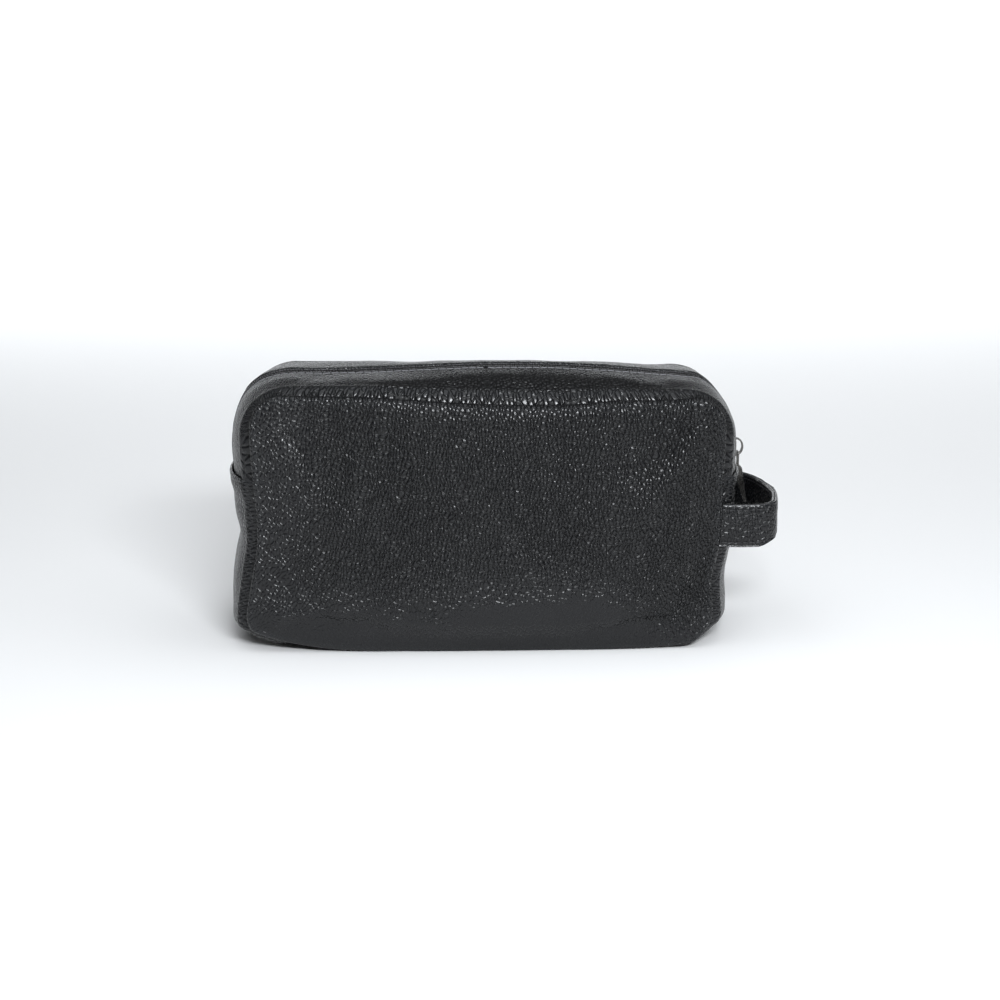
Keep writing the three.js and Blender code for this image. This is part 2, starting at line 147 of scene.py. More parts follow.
TAB_DENT_LENGTH = 24
TUCK = 5                                    # how far the zip gusset runs down behind that edge
TOOTH_PITCH = 1.35
TOOTH_RADIUS = 0.43

# How far each side of the bag stands out at each height, and the seams' waves along its length.
LEFT_STAND = (
    (0, -6), (3, -2), (6, 0.8), (12, 2.6), (18, 3.0), (34, 2.8), (48, 0.6), (60, -1.4), (71, 1.0), (83, 1.6),
    (94, 1.0), (105, 1.4), (116, 1.8), (127, 3.4), (138, 5.6), (148, 6.4),
)
RIGHT_STAND = (
    (0, -9), (5, -6), (14, -4.2), (30, -4.2), (44, -2.8), (60, -0.8), (90, 0.2), (112, 0.4), (138, 0.2),
)
LEFT_SEAM = (
    (0, 0), (3, 2), (6, 3.5), (11, 5.0), (16, 4.8), (24, 3.9), (32, 2.6), (44, 0.4), (56, -1.8), (72, -2.4),
    (92, -0.9), (112, 0.3), (138, 0.2),
)
RIGHT_SEAM = (
    (0, -2.0), (14, -2.8), (26, -3.8), (38, -4.6), (48, -2.2), (60, -0.4), (90, 0.6), (122, 1.2), (138, 0.4),
)
TOP_WAVE = (
    (-124, 0.4), (-97, 1.8), (-60, 3.3), (-26, 1.9), (8, 0.5), (40, -0.6), (67, 0.2), (99, -1.6), (124, -1.0),
)
CROWN_WAVE = (
    (-124, 1.6), (-112, 0.8), (-100, -0.4), (-80, -1.9), (-46, -2.4), (0, -1.6), (40, -1.6), (61, -2.0),
    (82, -2.6), (104, -2.4), (118, 1.0), (128, 0.5),
)
BOTTOM_WAVE = (
    (-128, 0), (-121, 0.3), (-116, 2.5), (-110, 4.0), (-104, 3.5), (-94, 2.3), (-78, 0.6), (-46, -0.5),
    (80, -0.6), (100, 0.6), (124, 1.2),
)


# ---------------------------------------------------------------- curves and noise


def smooth(start, end, value):
    t = np.clip((value - start) / (end - start), 0, 1)
    return t * t * (3 - 2 * t)


def bump(value, centre, width):
    return np.exp(-((value - centre) / width) ** 2)


def eased(points, value):
    """A smooth line through (place, amount) points."""
    places = np.array([p[0] for p in points], float)
    amounts = np.array([p[1] for p in points], float)
    value = np.clip(value, places[0], places[-1])
    index = np.clip(np.searchsorted(places, value, side="right") - 1, 0, len(places) - 2)
    slopes = np.gradient(amounts, places)
    span = places[index + 1] - places[index]
    t = (value - places[index]) / span
    low, high = amounts[index], amounts[index + 1]
    rise_low, rise_high = slopes[index] * span, slopes[index + 1] * span
    return (
        (2 * t ** 3 - 3 * t ** 2 + 1) * low + (t ** 3 - 2 * t ** 2 + t) * rise_low
        + (3 * t ** 2 - 2 * t ** 3) * high + (t ** 3 - t ** 2) * rise_high
    )


KNOTS = 256


def wander(along, spacing, seed):
    """Smooth noise from -1 to 1 along a line, with a knot at each spacing."""
    knots = np.random.default_rng(seed).uniform(-1, 1, KNOTS)
    place = along / spacing + KNOTS
    index = np.floor(place).astype(int)
    t = smooth(0, 1, place - index)
    return knots[index % KNOTS] * (1 - t) + knots[(index + 1) % KNOTS] * t


def swell(u, v, spacing, seed):
    """Smooth noise from -1 to 1 over a surface."""
    knots = np.random.default_rng(seed).uniform(-1, 1, (KNOTS, KNOTS))
    pu, pv = u / spacing + KNOTS, v / spacing + KNOTS
    iu, iv = np.floor(pu).astype(int), np.floor(pv).astype(int)
    tu, tv = smooth(0, 1, pu - iu), smooth(0, 1, pv - iv)
    near = knots[iu % KNOTS, iv % KNOTS] * (1 - tu) + knots[(iu + 1) % KNOTS, iv % KNOTS] * tu
    far = knots[iu % KNOTS, (iv + 1) % KNOTS] * (1 - tu) + knots[(iu + 1) % KNOTS, (iv + 1) % KNOTS] * tu
    return near * (1 - tv) + far * tv


def soften(points):
    """The slump of the whole soft bag, the same for every layer that is sewn together."""
    x, y, z = points[..., 0], points[..., 1], points[..., 2]
    out = points.copy()
    crown = np.clip(1 - np.abs(y / HALF_DEPTH) ** EDGE_ROUNDNESS, 0, 1)
    left = smooth(-60, -124, x)
    right = smooth(60, 124, x)
    left_stand = crown * eased(LEFT_STAND, z) + (1 - crown) * eased(LEFT_SEAM, z)
    right_stand = crown * eased(RIGHT_STAND, z) + (1 - crown) * eased(RIGHT_SEAM, z)
    out[..., 0] += right * right_stand - left * left_stand
    high = smooth(86, 132, z)
    wave = crown * eased(CROWN_WAVE, x) + (1 - crown) * eased(TOP_WAVE, x)
    low = smooth(34, 6, z)
    front = smooth(-26, -40, y)
    out[..., 2] += high * wave + low * front * eased(BOTTOM_WAVE, x) * (1 - crown)
    out[..., 2] += CORNER_LIFT * smooth(110, 136, np.abs(x)) * smooth(15, 0, z)
    ahead = smooth(HALF_DEPTH + 0.4, HALF_DEPTH + 4.5, np.abs(y))
    sag = 2.3 * ahead * bump(z, 5, 8) * smooth(-118, -84, x)
    out[..., 2] = np.maximum(out[..., 2] - sag, np.minimum(0.3, z))
    return out


# ---------------------------------------------------------------- materials


class Nodes:
    """A short way to write a node tree."""

    def __init__(self, name):
        self.material = bpy.data.materials.new(name)
        self.material.use_nodes = True
        self.tree = self.material.node_tree
        self.shader = self.tree.nodes["Principled BSDF"]

    def add(self, kind, settings=None, **inputs):
        node = self.tree.nodes.new(kind)
        for key, value in (settings or {}).items():
            setattr(node, key, value)
        for key, value in inputs.items():
            self.put(node, key.replace("_", " "), value)
        return node

    def put(self, node, key, value):
        socket = node.inputs[int(key)] if key.isdigit() else node.inputs[key]
        if isinstance(value, bpy.types.NodeSocket):
            self.tree.links.new(value, socket)
        else:
            socket.default_value = value

    def math(self, operation, first, second=0.0, clamp=False):
        node = self.add("ShaderNodeMath", {"operation": operation, "use_clamp": clamp})
        self.put(node, "0", first)
        self.put(node, "1", second)
        return node.outputs[0]

    def ramp(self, value, low, high, to_low=0.0, to_high=1.0):
        node = self.add(
            "ShaderNodeMapRange", {"interpolation_type": "SMOOTHSTEP"},
            Value=value, From_Min=low, From_Max=high, To_Min=to_low, To_Max=to_high,
        )
        return node.outputs[0]

    def noise(self, vector, scale, detail=2.0):
        node = self.add("ShaderNodeTexNoise", None, Vector=vector, Scale=scale, Detail=detail)
        return node.outputs["Fac"]

    def mix(self, factor, first, second):
        node = self.add("ShaderNodeMix", {"data_type": "RGBA"})
        self.tree.links.new(factor, node.inputs["Factor"])
        colours = [socket for socket in node.inputs if socket.type == "RGBA"]
        for socket, value in zip(colours, (first, second)):
            if isinstance(value, bpy.types.NodeSocket):
                self.tree.links.new(value, socket)
            else:
                socket.default_value = (*value, 1)
        return [socket for socket in node.outputs if socket.type == "RGBA"][0]

    def attribute(self, name, output):
        return self.add("ShaderNodeAttribute", {"attribute_name": name}).outputs[output]

    def bump(self, height, depth, strength=1.0, normal=None):
        node = self.add("ShaderNodeBump", None, Height=height, Distance=depth * MM, Strength=strength)
        if normal is not None:
            self.tree.links.new(normal, node.inputs["Normal"])
        return node.outputs["Normal"]

    def finish(self, **inputs):
        for key, value in inputs.items():
            self.put(self.shader, key.replace("_", " "), value)
        return self.material


def pebbled_leather():
    """Full-grain leather: pebbles with painted shade in their creases, drawn out along one diagonal, smoother
    in places.
    """
    n = Nodes("pebbled_leather")
    place = n.attribute("grain", "Vector")
    depth = n.attribute("relief", "Fac")
    wear_and_highlight = n.attribute("wear_and_highlight", "Fac")
    warp = n.add("ShaderNodeTexNoise", None, Vector=place, Scale=0.09, Detail=2.0)
    centred = n.add("ShaderNodeVectorMath", {"operation": "SUBTRACT"})
    n.put(centred, "0", warp.outputs["Color"])
    n.put(centred, "1", (0.5, 0.5, 0.5))
    drift = n.add("ShaderNodeVectorMath", {"operation": "SCALE"}, Scale=5.0)
    n.put(drift, "0", centred.outputs[0])
    shifted = n.add("ShaderNodeVectorMath", {"operation": "ADD"})
    n.put(shifted, "0", place)
    n.put(shifted, "1", drift.outputs[0])
    drawn = n.add(
        "ShaderNodeMapping", None,
        Vector=shifted.outputs[0], Rotation=(0, 0, GRAIN_TURN), Scale=(*GRAIN_STRETCH, 1),
    )
    vector = drawn.outputs[0]

    def cells(feature, scale):
        voronoi = n.add(
            "ShaderNodeTexVoronoi", {"feature": feature, "voronoi_dimensions": "2D"},
            Vector=vector, Scale=scale, Randomness=0.8,
        )
        return voronoi.outputs["Distance"]

    pebbles = n.ramp(cells("DISTANCE_TO_EDGE", PEBBLES_PER_MM), 0.0, 0.26)
    centre = cells("F1", PEBBLES_PER_MM)
    dome = n.math("SUBTRACT", 1.0, n.math("MULTIPLY", n.math("MULTIPLY", centre, centre), 2.4))
    specks = n.ramp(cells("DISTANCE_TO_EDGE", 2.1 * PEBBLES_PER_MM), 0.0, 0.3)
    pores = n.noise(place, 5.5, 3.0)
    broad = n.noise(place, 0.035, 2.0)
    height = n.math("ADD", n.math("MULTIPLY", pebbles, 0.62), n.math("MULTIPLY", specks, 0.03))
    height = n.math("ADD", height, n.math("MULTIPLY", dome, 0.38))
    height = n.math("ADD", height, n.math("MULTIPLY", pores, 0.015))
    patchy = n.ramp(broad, 0.3, 0.7, 0.75, 1.05)
    height = n.math("MULTIPLY", height, n.math("MULTIPLY", depth, patchy))
    crease = n.math("MULTIPLY", n.math("SUBTRACT", 1.0, pebbles), depth)
    body = n.mix(n.ramp(broad, 0.25, 0.75), (0.0034, 0.0036, 0.0046), (0.0052, 0.0055, 0.0066))
    # Painted shade: the colour darkens in the creases between pebbles, more where the relief is deeper.
    dark = n.mix(crease, body, (0.0012, 0.0012, 0.0015))
    # Painted highlight with wear: the colour lightens on crests, folds and rolled edges where light catches
    # them; the lower roughness there is rubbed wear.
    worn_and_highlit = n.mix(n.math("MULTIPLY", wear_and_highlight, 0.6), dark, (0.018, 0.019, 0.021))
    shine = n.math("ADD", n.ramp(pores, 0.3, 0.7, 0.22, 0.31), n.math("MULTIPLY", crease, 0.1))
    shine = n.math("SUBTRACT", shine, n.math("MULTIPLY", wear_and_highlight, 0.06), True)
    return n.finish(
        Base_Color=worn_and_highlit, Roughness=shine, Normal=n.bump(height, 0.75), Specular_IOR_Level=0.4,
    )


def woven(name, dark, light, threads, shine):
    """A plain weave with that many threads to the millimetre."""
    n = Nodes(name)
    place = n.attribute("grain", "Vector")
    parts = n.add("ShaderNodeSeparateXYZ", None, Vector=place)
    turn = 2 * math.pi * threads / 2

    def thread(axis):
        angle = n.math("MULTIPLY", parts.outputs[axis], turn)
        return n.math("SINE", angle)

    over = n.math("MULTIPLY", thread("X"), thread("Y"))
    weave = n.ramp(over, -1.0, 1.0)
    fuzz = n.noise(place, 1.3, 4.0)
    tone = n.math("ADD", n.math("MULTIPLY", weave, 0.6), n.math("MULTIPLY", fuzz, 0.4))
    colour = n.mix(tone, dark, light)
    return n.finish(
        Base_Color=colour, Roughness=n.ramp(fuzz, 0.3, 0.7, shine, shine + 0.12),
        Normal=n.bump(tone, 0.12), Sheen_Weight=0.15,
    )


def moulded(name, colour, pale, roughness):
    """Smooth polyester or nylon with a faint unevenness."""
    n = Nodes(name)
    place = n.attribute("grain", "Vector")
    uneven = n.noise(place, 0.9, 3.0)
    return n.finish(
        Base_Color=n.mix(uneven, colour, pale),
        Roughness=n.ramp(uneven, 0.2, 0.8, roughness, roughness + 0.12),
        Normal=n.bump(uneven, 0.03),
    )


def dark_nickel():
    """Plated metal with fine rubbed scratches."""
    n = Nodes("dark_nickel")
    place = n.add("ShaderNodeTexCoord").outputs["Object"]
    stretched = n.add("ShaderNodeMapping", None, Vector=place, Scale=(900, 900, 160))
    rubbed = n.noise(stretched.outputs[0], 4.0, 3.0)
    cloudy = n.noise(place, 420.0, 2.0)
    colour = n.mix(cloudy, (0.07, 0.067, 0.064), (0.15, 0.146, 0.14))
    return n.finish(
        Base_Color=colour, Metallic=1.0, Roughness=n.ramp(rubbed, 0.25, 0.75, 0.2, 0.38),
        Normal=n.bump(rubbed, 0.02),
    )


leather = pebbled_leather()
lining_cloth = woven("lining_cloth", (0.006, 0.006, 0.007), (0.017, 0.017, 0.019), 2.2, 0.6)
tape_cloth = woven("zip_tape_cloth", (0.005, 0.005, 0.006), (0.014, 0.014, 0.015), 1.6, 0.7)
coil_nylon = moulded("coil_nylon", (0.008, 0.008, 0.009), (0.014, 0.014, 0.016), 0.3)
# Painted highlight: the zip's topstitching thread is coloured grey, lighter than the black thread elsewhere,
# for the shine on its stitches.
thread = moulded("zip_stitch_thread_painted_highlight", (0.13, 0.13, 0.14), (0.22, 0.22, 0.23), 0.4)
strap_thread = moulded("strap_thread", (0.018, 0.018, 0.02), (0.03, 0.03, 0.032), 0.4)
metal = dark_nickel()

# ---------------------------------------------------------------- meshes


def make_piece(name, points, faces, material, grain=None, relief=None, wear_and_highlight=None):
    """A mesh from points in millimetres, with the attributes its material reads."""
    mesh = bpy.data.meshes.new(name)
    mesh.from_pydata((points * MM).tolist(), [], faces)
    mesh.validate()
    tools = bmesh.new()
    tools.from_mesh(mesh)
    bmesh.ops.recalc_face_normals(tools, faces=tools.faces)
    tools.to_mesh(mesh)
    tools.free()
    mesh.shade_smooth()
    count = len(mesh.vertices)
    flat = np.array(grain if grain is not None else points, np.float32).reshape(count, 3)
    mesh.attributes.new("grain", "FLOAT_VECTOR", "POINT").data.foreach_set("vector", flat.ravel())
    for key, value, usual in (("relief", relief, 1.0), ("wear_and_highlight", wear_and_highlight, 0.0)):
        numbers = np.full(count, usual, np.float32) if value is None else np.array(value, np.float32).ravel()
        mesh.attributes.new(key, "FLOAT", "POINT").data.foreach_set("value", numbers)
    mesh.materials.append(material)
    piece = bpy.data.objects.new(name, mesh)
    bpy.context.collection.objects.link(piece)
    return piece


def lattice(rows, columns, first=0, closed=True):
    """Quads over rows of columns, the last column joined to the first where closed."""
    last = columns if closed else columns - 1
    faces = []
    for row in range(rows - 1):
        for column in range(last):
            a = first + row * columns + column
            b = first + row * columns + (column + 1) % columns
            faces.append((a, b, b + columns, a + columns))
    return faces


def capped(grid):
    """Points and faces of a closed tube of sections, with its end faces on points of their own."""
    rows, columns = grid.shape[:2]
    count = rows * columns
    points = np.concatenate([grid.reshape(-1, 3), grid[0], grid[-1]])
    faces = lattice(rows, columns)
    faces.append(tuple(range(count, count + columns)))
    faces.append(tuple(range(count + columns, count + 2 * columns))[::-1])
    return points, faces


def with_caps(values):
    """The values of a grid's points, repeated for its two end faces."""
    return np.concatenate([values.reshape(-1, *values.shape[2:]), values[0], values[-1]])


def strip_piece(name, grid, material, grain, relief=None, wear_and_highlight=None):
    points, faces = capped(grid)
    extras = [with_caps(v) if v is not None else None for v in (grain, relief, wear_and_highlight)]
    return make_piece(name, points, faces, material, *extras)


# ---------------------------------------------------------------- the gussets' stations

seam_top_x = SEAM_HALF_WIDTH - SEAM_TOP_RADIUS
seam_top_z = SEAM_TOP - SEAM_TOP_RADIUS
seam_bottom_x = SEAM_HALF_WIDTH - SEAM_BOTTOM_RADIUS
seam_bottom_z = SEAM_BOTTOM + SEAM_BOTTOM_RADIUS
crown_top_x = CROWN_HALF_WIDTH - CROWN_TOP_RADIUS
crown_bottom_x = CROWN_HALF_WIDTH - CROWN_BOTTOM_RADIUS
crown_bottom_z = CROWN_BOTTOM + CROWN_BOTTOM_RADIUS


def mixed(a, b, t):
    return a + (b - a) * t


def upper_side(t):
    seam_z = mixed(GUSSET_JOIN_Z, seam_top_z, t)
    crown_z = mixed(GUSSET_JOIN_Z, CROWN_TOP_CENTRE_Z, t)
    return SEAM_HALF_WIDTH, seam_z, CROWN_HALF_WIDTH, crown_z, 1, 0


def top_corner(t):
    c, s = math.cos(t * math.pi / 2), math.sin(t * math.pi / 2)
    return (
        seam_top_x + SEAM_TOP_RADIUS * c, seam_top_z + SEAM_TOP_RADIUS * s,
        crown_top_x + CROWN_TOP_RADIUS * c, CROWN_TOP_CENTRE_Z + CROWN_TOP_RADIUS * s, c, s,
    )


def top_run(t):
    """From the corner at t = 0 to the middle of the bag at t = 1."""
    seam_x = mixed(seam_top_x, 0, t)
    crown_x = mixed(crown_top_x, 0, t)
    sag = SEAM_SAG * (1 - (seam_x / seam_top_x) ** 2)
    rise = CROWN_TOP_RISE * (1 - (crown_x / crown_top_x) ** 2)
    crown_top = CROWN_TOP_CENTRE_Z + CROWN_TOP_RADIUS
    return seam_x, SEAM_TOP - sag, crown_x, crown_top + rise, 0, 1


def bottom(t):
    return seam_bottom_x * t, SEAM_BOTTOM, crown_bottom_x * t, CROWN_BOTTOM, 0, -1


def bottom_corner(t):
    c, s = math.sin(t * math.pi / 2), -math.cos(t * math.pi / 2)
    return (
        seam_bottom_x + SEAM_BOTTOM_RADIUS * c, seam_bottom_z + SEAM_BOTTOM_RADIUS * s,
        crown_bottom_x + CROWN_BOTTOM_RADIUS * c, crown_bottom_z + CROWN_BOTTOM_RADIUS * s, c, s,
    )


def lower_side(t):
    seam_z = mixed(seam_bottom_z, GUSSET_JOIN_Z, t)
    crown_z = mixed(crown_bottom_z, GUSSET_JOIN_Z, t)
    return SEAM_HALF_WIDTH, seam_z, CROWN_HALF_WIDTH, crown_z, 1, 0


def stations(*stretches):
    """Stations along (stretch, start, end, steps), each stretch going on from the one before."""
    rows = []
    for stretch, start, end, steps in stretches:
        for i in range(1 if rows else 0, steps + 1):
            rows.append(stretch(mixed(start, end, i / steps)))
    return np.array(rows, float)


MIRROR = np.array([-1, 1, -1, 1, -1, 1], float)


def arc_lengths(run):
    steps = np.hypot(np.diff(run[:, 2]), np.diff(run[:, 3]))
    return np.concatenate([[0], np.cumsum(steps)])


def crown_share(y):
    near = np.clip(1 - np.abs(y / HALF_DEPTH) ** EDGE_ROUNDNESS, 0, 1)
    return near ** EDGE_STEEPNESS


def gusset_points(run, y, sunk):
    """Points at every station and depth, sunk below the gusset's outer surface."""
    y, sunk = np.broadcast_arrays(np.asarray(y, float), np.asarray(sunk, float))
    y = np.broadcast_to(y, (len(run), y.shape[-1]))
    from_edge = HALF_DEPTH - np.abs(y)
    turned = GROOVE * np.exp(-from_edge / GROOVE_WIDTH) - WELT * bump(from_edge, WELT_FROM_SEAM, WELT_WIDTH)
    sunk = np.broadcast_to(sunk, y.shape) + turned
    share = crown_share(y)
    seam_x, seam_z, crown_x, crown_z, out_x, out_z = (run[:, i:i + 1] for i in range(6))
    x = seam_x + (crown_x - seam_x) * share
    z = np.maximum(0, seam_z + (crown_z - seam_z) * share)
    return soften(np.stack([x - out_x * sunk, y, z - out_z * sunk], axis=-1))


def tuck_share(depth):
    return -depth / (CROWN_TOP_CENTRE_Z - GUSSET_JOIN_Z)


zip_right = stations((upper_side, tuck_share(TUCK), 1, 14), (top_corner, 0, 1, 56), (top_run, 0, 1, 84))
zip_runs = {"right": zip_right, "left": zip_right * MIRROR}
base_half = stations((bottom, 0, 1, 70), (bottom_corner, 0, 1, 28), (lower_side, 0, 1, 72))
base_run = np.concatenate([base_half[:0:-1] * MIRROR, base_half])

# ---------------------------------------------------------------- pieces baked in place, the two sides, and gathers at seams


def with_lip(piece):
    """Bakes the piece's placement into its mesh."""
    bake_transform(piece)


SIDES = {"front": -1, "back": 1}


def seam_pull(arc, from_seam, seed):
    """Small gathers that run away from a seam."""
    close = np.exp(-from_seam / 5.0)
    fine = wander(arc, 2.6, seed) * 0.1
    broad = wander(arc, 9.0, seed + 1) * 0.22
    return (fine + broad) * close


# ---------------------------------------------------------------- base gusset


def section(seam_y, count, power):
    """Depths across a gusset from front to back, closer together at the seams."""
    t = np.linspace(-1, 1, count)
    return seam_y * np.sign(t) * (1 - (1 - np.abs(t)) ** power)


def base_gusset():
    across = section(SEAM_Y, 72, 1.9)
    arc = arc_lengths(base_run)[:, None]
    from_end = np.minimum(arc, arc[-1] - arc)
    half = LEATHER / 2
    rounded = np.sqrt(np.clip(1 - (1 - np.clip(from_end / half, 0, 1)) ** 2, 0, 1))
    lap = LAP * smooth(LAP_LENGTH, LAP_LENGTH * 0.25, from_end)
    fold = 0.45 * bump(from_end, 1.4, 1.3) - 0.3 * bump(from_end, 3.6, 0.7)
    y = np.broadcast_to(across, (len(base_run), len(across)))
    crown = np.clip(1 - np.abs(y / HALF_DEPTH) ** 8, 0, 1)
    behind_tab = TAB_HOLLOW * bump(y, 0, TAB_HOLLOW_WIDTH) * (base_run[:, 2:3] > 0)
    from_seam = SEAM_Y - np.abs(y)
    flat = base_run[:, 5:6] < -0.95
    relaxed = np.where(flat, 0.0, 1.0)
    folds = swell(arc + 0 * y, y, 17, 5) * 0.5 + swell(arc * 1.0 + 0 * y, y * 0.4, 5.2, 6) * 0.22
    gathers = seam_pull(arc + 0 * y, from_seam, 11)
    dent = TAB_DENT * behind_tab * smooth(TAB_DENT_LENGTH + 8, TAB_DENT_LENGTH, from_end)
    outer = dent - (lap + fold) * crown * (1 - behind_tab) - (folds * crown + gathers) * relaxed
    middle = outer + half
    outer_side = gusset_points(base_run, y, middle - half * rounded)
    inner_side = gusset_points(base_run, y[:, ::-1], (middle + half * rounded)[:, ::-1])
    grid = np.concatenate([outer_side, inner_side], axis=1)
    grain_one = np.stack([arc + 0 * y, y + 300, 0 * y], axis=-1)
    grain = np.concatenate([grain_one, grain_one[:, ::-1]], axis=1)
    # Painted highlight with wear: lighter on the folded top edges and on the crest beside each seam.
    wear_and_highlight_one = bump(from_end, 0.6, 1.0) + 0 * y + 0.5 * bump(from_seam, 2.4, 1.4)
    wear_and_highlight = np.concatenate([wear_and_highlight_one, wear_and_highlight_one[:, ::-1] * 0], axis=1)
    relief_one = 0.85 + 0.15 * swell(arc + 0 * y, y, 30, 8)
    relief = np.concatenate([relief_one, relief_one[:, ::-1]], axis=1)
    piece = strip_piece("base_gusset_leather", grid, leather, grain, relief, wear_and_highlight)
    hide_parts("base_gusset")
    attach(piece, "shell")
    return piece


def sheet_strip(name, run, low_y, high_y, depth, thickness, material, columns):
    """A plain strip of cloth between two depths across a gusset."""
    across = np.linspace(low_y, high_y, columns)
    arc = arc_lengths(run)[:, None]
    outer = gusset_points(run, across, np.full(columns, depth))
    inner = gusset_points(run, across[::-1], np.full(columns, depth + thickness))
    grid = np.concatenate([outer, inner], axis=1)
    one = np.stack(np.broadcast_arrays(arc, across[None, :], 0.0), axis=-1)
    grain = np.concatenate([one, one[:, ::-1]], axis=1)
    return strip_piece(name, grid, material, grain)


def base_lining():
    piece = sheet_strip(
        "base_lining_cloth", base_run[::2], -SEAM_Y, SEAM_Y, BASE_LINING_DEPTH, LINING, lining_cloth, 30,
    )
    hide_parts("lining_base")
    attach(piece, "shell")


# ---------------------------------------------------------------- zip gusset


def flap_height(arc, a, side):
    """How far the leather beside the zip stands over its even surface, at a distance from the middle."""
    edge = LIP_EDGE + FOLD_RADIUS
    from_seam = SEAM_Y - a
    welt = 0.5 * bump(a, edge + 0.9, 1.3) - 0.36 * bump(a, STITCH_FROM_MIDDLE, 0.75)
    ripple = wander(arc, 3.9, 21 + side) * 0.14 * bump(a, STITCH_FROM_MIDDLE, 3.0)
    folds = swell(arc + 0 * a, a + 50 * side, 15, 31) * 0.45 * bump(a, 24, 14)
    return welt + ripple + folds + seam_pull(arc, from_seam, 41 + side)


def zip_flap(side_name, half_name):
    side, run = SIDES[side_name], zip_runs[half_name]
    arc = arc_lengths(run)[:, None]
    t = np.linspace(0, 1, 46) ** 1.7
    edge = LIP_EDGE + FOLD_RADIUS
    outer_a = mixed(SEAM_Y, edge, t)
    turn = np.linspace(-math.pi / 2, math.pi / 2, 9)[1:-1]
    edge_a = edge - FOLD_RADIUS * np.cos(turn)
    a = np.concatenate([outer_a, edge_a, outer_a[::-1]])
    inner_flag = np.concatenate([0 * outer_a, (1 + np.sin(turn)) / 2, 0 * outer_a + 1])
    from_seam = SEAM_Y - a
    sunk = LEATHER * inner_flag - flap_height(arc, a, side)
    grid = gusset_points(run, np.broadcast_to(side * a, (len(run), len(a))), sunk)
    grain = np.stack(np.broadcast_arrays(arc, side * a[None, :] + 150, 0.0), axis=-1)
    # Painted highlight with wear: lighter along the fold beside the zip and on the crest beside the seam.
    worn_and_highlit = 0.8 * bump(a, edge - 0.4, 1.2) * (1 - inner_flag) + 0.45 * bump(from_seam, 2.6, 1.3)
    wear_and_highlight = np.broadcast_to(worn_and_highlit, sunk.shape)
    relief = np.broadcast_to(0.9 - 0.25 * bump(a, edge, 2.5), sunk.shape)
    piece = strip_piece(f"zip_flap_{side_name}_{half_name}", grid, leather, grain, relief, wear_and_highlight)
    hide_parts(f"zip_gusset_{side_name}_{half_name}", f"zip_gusset_{side_name}_top")
    with_lip(piece)


def zip_tape(side_name, half_name):
    side = SIDES[side_name]
    run = zip_runs[half_name]
    columns = 9
    arc = arc_lengths(run)[:, None]
    parted = smooth(COIL_END_Z + 5, COIL_END_Z - 1, run[:, 3:4]) if half_name == "right" else 0 * arc
    inner = mixed(TAPE_INNER, TAPE_SPREAD, parted)
    t = np.linspace(0, 1, columns)
    a = inner + (TAPE_OUTER - inner) * t
    outer = gusset_points(run, side * a, np.full(columns, TAPE_DEPTH) - 0.25 * bump(a, 2.6, 0.7))
    under = gusset_points(run, side * a[:, ::-1], np.full(columns, TAPE_DEPTH + TAPE))
    grid = np.concatenate([outer, under], axis=1)
    one = np.stack(np.broadcast_arrays(arc, a, 0.0), axis=-1)
    grain = np.concatenate([one, one[:, ::-1]], axis=1)
    piece = strip_piece(f"zip_tape_cloth_{side_name}_{half_name}", grid, tape_cloth, grain)
    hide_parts(f"zip_tape_{side_name}_{half_name}", f"zip_tape_{side_name}_top")
    with_lip(piece)


def zip_facing(side_name, half_name):
    side = SIDES[side_name]
    low, high = sorted((side * ZIP_LINING_EDGE, side * SEAM_Y))
    piece = sheet_strip(
        f"zip_lining_cloth_{side_name}_{half_name}", zip_runs[half_name][::2], low, high,
        ZIP_LINING_DEPTH, LINING, lining_cloth, 16,
    )
    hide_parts(f"lining_zip_{side_name}_{half_name}", f"lining_zip_{side_name}_top")
    with_lip(piece)


def along(run, places):
    """Stations at those arc lengths."""
    arc = arc_lengths(run)
    return np.stack([np.interp(places, arc, run[:, i]) for i in range(6)], axis=1)


SIDES_OF_BEAD = 8


def beads(starts, ends, radius, flatten=1.0):
    """Round-ended rods from starts to ends, all in one list of points and faces."""
    rings = ((0.0, 0.0), (0.12, 0.62), (0.4, 0.93), (1.0, 1.0))
    axis = ends - starts
    length = np.linalg.norm(axis, axis=1, keepdims=True)
    axis = axis / length
    helper = np.where(np.abs(axis[:, 2:3]) > 0.8, [[1.0, 0, 0]], [[0, 0, 1.0]])
    u = np.cross(axis, helper)
    u /= np.linalg.norm(u, axis=1, keepdims=True)
    v = np.cross(u, axis) * flatten
    angles = np.arange(SIDES_OF_BEAD) * 2 * math.pi / SIDES_OF_BEAD
    circle = u[:, None] * np.cos(angles)[None, :, None] + v[:, None] * np.sin(angles)[None, :, None]
    rows = []
    for inset, size in rings:
        rows.append((starts + axis * radius * (inset - 1))[:, None] + circle * radius * max(size, 0.02))
    for inset, size in rings[::-1]:
        rows.append((ends - axis * radius * (inset - 1))[:, None] + circle * radius * max(size, 0.02))
    grid = np.stack(rows, axis=1)
    each = grid.shape[1] * SIDES_OF_BEAD
    faces = []
    for index in range(len(starts)):
        first = index * each
        faces += lattice(grid.shape[1], SIDES_OF_BEAD, first)
        faces.append(tuple(range(first, first + SIDES_OF_BEAD)))
        faces.append(tuple(range(first + each - SIDES_OF_BEAD, first + each))[::-1])
    return grid.reshape(-1, 3), faces


